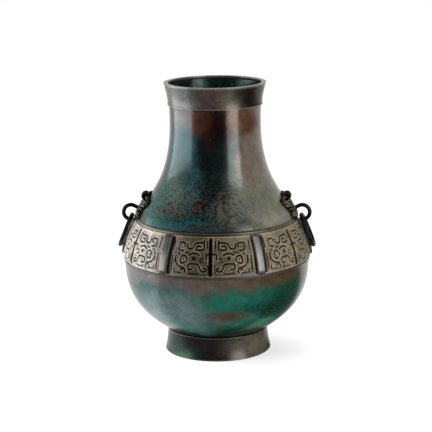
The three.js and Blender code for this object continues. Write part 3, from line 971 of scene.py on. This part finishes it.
def panel(turn):
    bm = grid(PANEL_COLUMNS, PANEL_ROWS)
    rim = open_edges(bm.edges)
    copy = bmesh.ops.duplicate(bm, geom=bm.verts[:] + bm.edges[:] + bm.faces[:])["geom"]
    back = set(only(BMVert, copy))
    back_rim = open_edges(only(BMEdge, copy))
    flat = np.array([tuple(v.co) for v in bm.verts])
    is_back = np.array([v in back for v in bm.verts])
    z = FRIEZE_BOTTOM + (flat[:, 1] + 0.5) * (FRIEZE_TOP - FRIEZE_BOTTOM)
    radius = off_wall(z, PANEL_PROUD)[0]
    joint = (TONGUE / 2 + GAP) / radius
    angle = flat[:, 0] * (bay_turn - 2 * joint)
    height, depth = relief(angle * BELLY_RADIUS, z)
    # Beside the ribs the ground sinks and is painted dark as the shadow that a rib casts, wider on
    # the panel's first side, and the long edges have a plain rim
    arc_length = bay_turn * radius
    sunk_and_shadowed = ramp((0.5 + flat[:, 0]) * arc_length, *SUNK_SHADOW_FIRST)
    sunk_and_shadowed = np.maximum(sunk_and_shadowed, ramp((0.5 - flat[:, 0]) * arc_length, *SUNK_SHADOW_LAST))
    height = height * (1 - sunk_and_shadowed) - SUNK * sunk_and_shadowed
    # the sunk band carries the rib's painted shadow into the colour
    depth = np.maximum(depth, 0.8 * sunk_and_shadowed)
    rim_line = ramp(np.abs(np.abs(z - (FRIEZE_BOTTOM + FRIEZE_TOP) / 2) - RIM_LINE), 0.9, 0.4)
    height = height + (RIM_PROUD - height) * rim_line
    depth = depth * (1 - rim_line)
    height = height - 0.3 * ramp(0.5 - np.abs(flat[:, 1]), 0.012, 0)
    h = np.where(is_back, BEHIND - RECESS, PANEL_PROUD + height)
    radius, z = off_wall(z, h)
    layer = bm.verts.layers.float.new("groove_dirt_and_painted_light")
    for v, r, a, up, d in zip(bm.verts, radius, angle + turn, z, depth):
        v.co = (r * math.cos(a), r * math.sin(a), up)
        v[layer] = d
    bmesh.ops.bridge_loops(bm, edges=rim + back_rim)
    return bm


for bay in range(BAYS):
    turn = (bay + 0.5) * 2 * math.pi / BAYS
    finish(panel(turn), f"relief_panel_{bay + 1}", buff, [f"frieze_panel_{bay + 1}"], soft=70)

# %% [markdown]
# ## Ribs
# A smooth bar with a nearly flat face and rounded sides covers each joint between two panels.
# It starts as a flat grid that is arched across and laid along the wall's line; a narrow
# skirt and a back close it.

# %% Ribs
RIB_WIDTH = 9
RIB_RISE = 2.4
RIB_SETBACK = 1
RIB_END = 1.5  # length over which an end is rounded down
RIB_SKIRT = 0.3
CROWN_POWER = 5  # the higher, the flatter the face


def rib(turn):
    bm = grid(24, 40)
    seat = PANEL_PROUD + GAP
    low, high = FRIEZE_BOTTOM + RIB_SETBACK, FRIEZE_TOP - RIB_SETBACK
    for v in bm.verts:
        across, share = 2 * v.co.x, v.co.y + 0.5
        z = low + share * (high - low)
        to_end = min(z - low, high - z)
        rounded = math.sqrt(max(0.0, 1 - max(0.0, 1 - to_end / RIB_END) ** 2))
        crown = max(0.0, 1 - abs(across) ** CROWN_POWER) ** 0.5
        r, up = off_wall(z, seat + RIB_RISE * crown * (0.25 + 0.75 * rounded))
        a = turn - math.sin(across * math.pi / 2) * RIB_WIDTH / 2 / r
        v.co = (r * math.cos(a), r * math.sin(a), up)
    skirt = bmesh.ops.extrude_edge_only(bm, edges=open_edges(bm.edges))["geom"]
    for v in only(BMVert, skirt):
        v.co -= Vector((math.cos(turn), math.sin(turn), 0)) * RIB_SKIRT
    bmesh.ops.holes_fill(bm, edges=open_edges(only(BMEdge, skirt)), sides=0)
    return bm


for bay in range(BAYS):
    finish(rib(bay * 2 * math.pi / BAYS), f"rib_bar_{bay + 1}", rib_bronze, [f"rib_{bay + 1}"])

# %% [markdown]
# ## Handles: the mask
# Each handle is an animal mask soldered to the shoulder. Its face is a low plate with a
# snout, ridged brows, bulging eyes and curled horns, and its crest rolls over backwards. The
# plate is a disc that is stretched to the mask's outline: a grid whose columns become rays
# and whose rows become rings, so its rim is smooth at any outline. The rolled crest is a
# spiral band, drawn flat and pulled out sideways.

# %% The mask's outline and features
MASK_CLIMB = 33  # from chin to crest, along the wall
MASK_HALF_WIDTH = 27
MASK_EDGE = 2.4  # thickness at the rim
chin = FRIEZE_TOP + GAP
MASK_OUTLINE = [
    (0.42, 0),
    (0.74, 0.04),
    (0.82, 0.16),
    (0.78, 0.32),
    (0.88, 0.5),
    (1, 0.7),
    (0.93, 0.86),
    (0.62, 0.89),
    (0.34, 0.91),
    (0.22, 1),
]  # half of it, as shares of the half width and of the climb
SWELLS = [
    # place across and up, half sizes, rise
    (0, 10.5, 6, 6.5, 2.2),
    (0, 19.5, 4.2, 7.5, 1.4),
    (10.5, 17, 4.6, 3.9, 2.2),
    (20, 23, 6, 4.6, 1.2),
    (15, 6, 6, 4.5, 1.0),
    (0, 28, 8, 4.5, 1.4),
]
RIDGES = [
    [(2.6, 18.5), (6, 21.6), (11.5, 22.8), (16.4, 20.6), (17.6, 17)],
    [(8, 26.8), (14, 27.6), (20, 27.2), (24, 24.2), (24, 19.8)]
    + [(20.8, 17.8), (18.2, 19.8), (18.8, 23), (21.2, 23)],
    [(4.6, 13.6), (8, 11.4), (13, 11.8), (17, 14.2), (20.4, 15)],
    [(2.2, 5.8), (4.2, 3.1), (7.4, 3), (9.4, 5.2), (8.4, 7.8), (6, 7.6), (6, 5.8)],
    [(11.6, 8.6), (15.5, 9.8), (19.5, 8), (20, 4.4), (16.6, 2.4), (13.2, 3.8), (14, 6.4)],
]
CUTS = [
    [(3.6, 9), (3.9, 13.6), (3.4, 17.4)],
    [(5.4, 16.8), (7.4, 20.2), (12, 21), (15.2, 19), (15, 15.2), (11, 13.5), (7, 14.2)],
    [(0, 25.2), (4, 25.8), (8, 24.8), (12, 25.2), (18.6, 25.2)],
    [(9.4, 17), (11.4, 17)],
    [(0, 3.8), (2.4, 4.8)],
    [(11, 2), (11, 6.6)],
    [(18, 12.4), (23, 11.2)],
    [(16, 25.6), (22, 25.4)],
    [(18.4, 16.2), (24.4, 15.4)],
    [(22.6, 20.8), (26.6, 21.2)],
    [(17.4, 1.4), (22, 6)],
    [(12.6, 29.2), (12.8, 25.6)],
    [(8.8, 9.2), (12.8, 9.6)],
]
RIDGE_RISE = 1.4
CUT_DEPTH = 1.5
ridges = [softened(stroke) for stroke in RIDGES]
cuts = [softened(stroke) for stroke in CUTS]
print("mask:", len(SWELLS), "swells,", len(ridges), "ridges,", len(cuts), "cuts")

# %% The mask's rim and relief


def mask_rim(columns):
    right = [(a * MASK_HALF_WIDTH, u * MASK_CLIMB) for a, u in MASK_OUTLINE]
    loop = [(0, 0), *right, (0, MASK_CLIMB), *[(-a, u) for a, u in reversed(right)]]
    line = np.array([tuple(p) for p in through(loop, closed=True)])
    line = np.vstack([line[-1:], line])
    run = np.concatenate([[0], np.cumsum(np.hypot(*np.diff(line, axis=0).T))])
    even = np.linspace(0, run[-1], columns + 1)
    return np.column_stack([np.interp(even, run, line[:, 0]), np.interp(even, run, line[:, 1])])


def mask_relief(across, up):
    points = np.column_stack([np.abs(across), up])
    high = np.zeros(len(points))
    for a, u, wide, tall, lift in SWELLS:
        high += lift * np.clip(1 - ((points[:, 0] - a) / wide) ** 2 - ((up - u) / tall) ** 2, 0, 1)
    ridge = RIDGE_RISE * ramp(to_strokes(points, ridges), 1.35, 0.45)
    cut = ramp(to_strokes(points, cuts), 1.2, 0.4)
    low = ramp(high + ridge, 1.3, 0.3)
    return high + ridge - CUT_DEPTH * cut, np.clip(0.12 + 0.7 * low + cut, 0, 1)


# %% The seat that the ring has worn
RING_BAR = 4.8
RING_RADIUS = 17.9
RING_LEAN = math.radians(22.4)
RING_SEAT = 0.15  # clearance
ring_swing = next(j for j in frame["joints"] if j["name"] == "ring_right_swing")
ring_pivot = Vector(ring_swing["pos_m"]) / MM
lean = Matrix.Rotation(-RING_LEAN, 3, "Y")
swung_over = Matrix.Rotation(math.radians(ring_swing["range_deg"][1]), 3, ring_swing["axis"]) @ lean
swung_middle = ring_pivot + swung_over @ Vector((0, 0, -RING_RADIUS))
swung_inwards = swung_over @ Vector((1, 0, 0))


def wear_seat(bm):
    # The ring can be swung over until it lies on the face, where it has worn a shallow seat
    for v in bm.verts:
        out = v.co - swung_middle
        depth = out.dot(swung_inwards)
        beside = (out - depth * swung_inwards).length - RING_RADIUS
        room = (RING_BAR / 2 + RING_SEAT) ** 2 - beside**2
        if room > depth**2:
            v.co += swung_inwards * (math.sqrt(room) - depth)


print("the ring swings", ring_swing["range_deg"], "degrees about", [round(c, 1) for c in ring_pivot])

# %% The rolled crest
CREST_MIDDLE = (0, 27.2, 4.0)  # across, up and out from the wall
CREST_HALF_WIDTH = 8.4
CREST_SLICES = 36
CREST_FLUTES = 5


def crest_roll(bm, layer):
    # A scroll of sheet: a spiral band, pulled out sideways in slices that swell into flutes
    middle = Vector(CREST_MIDDLE)
    turns = np.radians(np.linspace(-100, 350, 50))
    reach = np.linspace(4.5, 1.2, len(turns))
    half = np.linspace(0.8, 0.6, len(turns))
    # The outer face is light and the inner face dark, as painted shade inside the roll
    outline = [(r + t, a, 0.3) for r, t, a in zip(reach, half, turns)]
    outline += [(r - t, a, 0.95) for r, t, a in zip(reach, half, turns)][::-1]

    def move(verts, share):
        across = (2 * share - 1) * CREST_HALF_WIDTH
        flute = 0.5 + 0.5 * math.cos(2 * math.pi * share * CREST_FLUTES)
        size = (1 - 0.28 * abs(2 * share - 1) ** 4) * (1 - 0.13 * flute)
        for v, (r, a, dark) in zip(verts, outline):
            v.co = middle + Vector((across, r * size * math.sin(a), r * size * math.cos(a)))
            # the flute valleys are painted darker as well, as shade
            v[layer] = min(1, dark + 0.5 * flute)

    verts = [bm.verts.new(middle) for _ in outline]
    move(verts, 0)
    face = bm.faces.new(verts)
    for i in range(CREST_SLICES):
        grown = bmesh.ops.extrude_face_region(bm, geom=[face])["geom"]
        face = only(BMFace, grown)[0]
        move(face.verts, (i + 1) / CREST_SLICES)


# %% The mask as a piece
MASK_COLUMNS = 360
MASK_RINGS = 62
MASK_SINK = 0.8  # the plate's drop at its rim
SIDES = {"right": 0, "left": math.pi}


def place_on_wall(bm):
    for v in bm.verts:
        across, up, h = v.co
        r, z = off_wall(climbed(chin, up), h)
        v.co = (r * math.cos(across / r), r * math.sin(across / r), z)


def mask(side):
    # Rows run from the middle of the face to its rim, down the edge and back under the plate
    rows = [(i / MASK_RINGS, 1) for i in range(MASK_RINGS + 1)]
    rows += [(0.985, 0.5), (0.95, 0.0), (0.6, 0.0), (0.0, 0.0)]
    bm = grid(MASK_COLUMNS, len(rows) - 1)
    flat = np.array([tuple(v.co) for v in bm.verts])
    ray = np.rint((flat[:, 0] + 0.5) * MASK_COLUMNS).astype(int)
    row = np.rint((flat[:, 1] + 0.5) * (len(rows) - 1)).astype(int)
    share, front = np.array(rows)[row].T
    rim = mask_rim(MASK_COLUMNS)[ray]
    across = rim[:, 0] * share
    up = MASK_CLIMB / 2 + (rim[:, 1] - MASK_CLIMB / 2) * share
    height, dark = mask_relief(across, up)
    inset = (1 - share) * np.hypot(rim[:, 0], rim[:, 1] - MASK_CLIMB / 2)
    lip = hump(inset, 1.1, 0.6)
    face = (MASK_EDGE - MASK_SINK) + (MASK_SINK + height) * ramp(inset, 0, 1.6) + 0.4 * lip
    h = np.where(front == 1, face, GAP + front * (MASK_EDGE - MASK_SINK - GAP))
    # The rim's lip is paler; the edge and the underside are painted dark as the shade in the gap between
    # mask and wall
    dark = np.where(front == 1, dark * (1 - 0.8 * lip), 1 - 0.4 * front)
    layer = bm.verts.layers.float.new("groove_dirt_and_painted_light")
    for v, a, u, out, d in zip(bm.verts, across, up, h, dark):
        v.co = (a, u, out)
        v[layer] = d
    bmesh.ops.remove_doubles(bm, verts=bm.verts, dist=0.002)
    crest_roll(bm, layer)
    place_on_wall(bm)
    wear_seat(bm)
    to_side(bm, side)
    return bm


for side, turn in SIDES.items():
    finish(mask(turn), f"{side}_mask", mask_bronze, [f"mask_{side}"], soft=60)

# %% [markdown]
# ## Handles: loop, rove and ring
# A round bar comes square out of the mask, bends down in a circle and ends on the chin. Its
# shank passes through the wall and is riveted over a small washer, called a rove. The ring
# hangs in the loop's eye and leans on the rib below. All of these are round bars, so each
# starts as one circle that is spun about the centre of its bend.

# %% Where the loop's leg enters the wall
LOOP_BAR = 4.5
LOOP_RADIUS = 8.3
LOOP_ABOVE_CHIN = 2.6
LOOP_STANDOFF = 8.5
LOOP_END = math.radians(-108)
ROVE_RADIUS = 5
ROVE_THICKNESS = 1.2
loop_middle = Vector(off_wall(chin + LOOP_ABOVE_CHIN, LOOP_STANDOFF))
slope = np.interp(chin + LOOP_ABOVE_CHIN + LOOP_RADIUS, wall_height, wall_slope)
leg_out = Vector((1, -slope)).normalized()
leg_turn = math.atan2(leg_out.x, -leg_out.y)
leg_start = loop_middle + Vector((math.cos(leg_turn), math.sin(leg_turn))) * LOOP_RADIUS


def leg_to_wall(step=0.02):
    reach = 0.0
    while leg_start.x - leg_out.x * reach > off_wall(leg_start.y - leg_out.y * reach)[0]:
        reach += step
    return reach


rove_reach = leg_to_wall() + WALL + GAP + ROVE_RADIUS**2 / NECK_RADIUS
head_reach = rove_reach + ROVE_THICKNESS + GAP
print("the rivet head lies", round(head_reach, 1), "mm in from the loop's bend")


def along_leg(bm, reach, side):
    inwards = Vector((-leg_out.x, 0, -leg_out.y))
    foot_of_it = leg_start - leg_out * reach
    rotate(bm, Vector((0, 0, 1)).rotation_difference(inwards).to_matrix())
    shift(bm, (foot_of_it.x, 0, foot_of_it.y))
    to_side(bm, side)
    return bm


# %% Loop and its rivet head
BAR_SIDES = 32
SHANK_IN_HEAD = 1
HEAD_RADIUS = 3.5
HEAD_RISE = 1.7


def bar_circle(thickness):
    bm = bmesh.new()
    bmesh.ops.create_circle(bm, cap_ends=False, segments=BAR_SIDES, radius=thickness / 2)
    return bm


def rivet_head(side):
    head = bmesh.new()
    bmesh.ops.create_uvsphere(head, u_segments=BAR_SIDES, v_segments=16, radius=HEAD_RADIUS)
    for v in head.verts:
        v.co.z = max(v.co.z, 0) * HEAD_RISE / HEAD_RADIUS
    bmesh.ops.remove_doubles(head, verts=head.verts, dist=0.01)
    along_leg(head, head_reach, side)
    return as_mesh(head, "rivet head")


def loop(side):
    bm = bar_circle(LOOP_BAR)
    along_leg(bm, 0, 0)
    first = bm.edges[:]
    middle = (loop_middle.x, 0, loop_middle.y)
    bend = leg_turn - LOOP_END
    bmesh.ops.spin(bm, geom=bm.verts[:] + first, cent=middle, axis=(0, 1, 0), angle=bend, steps=72)
    shank = bmesh.ops.extrude_edge_only(bm, edges=first)["geom"]
    run = head_reach + SHANK_IN_HEAD
    along = (-leg_out.x * run, 0, -leg_out.y * run)
    bmesh.ops.translate(bm, verts=only(BMVert, shank), vec=along)
    bmesh.ops.holes_fill(bm, edges=open_edges(bm.edges), sides=0)
    bmesh.ops.recalc_face_normals(bm, faces=bm.faces)
    round_off(bm, 0.5, sharper_than=60)
    to_side(bm, side)
    head = rivet_head(side)
    bm.from_mesh(head)
    bpy.data.meshes.remove(head)
    return bm


# %% Ring and rove
RING_STEPS = 144


def ring(side):
    bm = bar_circle(RING_BAR)
    shift(bm, (0, RING_RADIUS, -RING_RADIUS))
    spin_round(bm, bm.verts[:] + bm.edges[:], (0, 0, -RING_RADIUS), (1, 0, 0), RING_STEPS)
    rotate(bm, lean)
    shift(bm, (ring_pivot.x, 0, ring_pivot.z))
    to_side(bm, side)
    return bm


def rove(side):
    bore = LOOP_BAR / 2 + GAP
    outline = [(bore, 0), (ROVE_RADIUS, 0), (ROVE_RADIUS, ROVE_THICKNESS), (bore, ROVE_THICKNESS)]
    return along_leg(turned(outline, bevel=0.2, steps=48), rove_reach, side)


for side, turn in SIDES.items():
    finish(loop(turn), f"{side}_loop", bar_bronze, [f"loop_{side}"], soft=60)
    finish(rove(turn), f"{side}_rove", rib_bronze, [f"rove_{side}"])
    finish(ring(turn), f"{side}_ring", bar_bronze, [f"ring_{side}"], body=f"ring_{side}", soft=80)
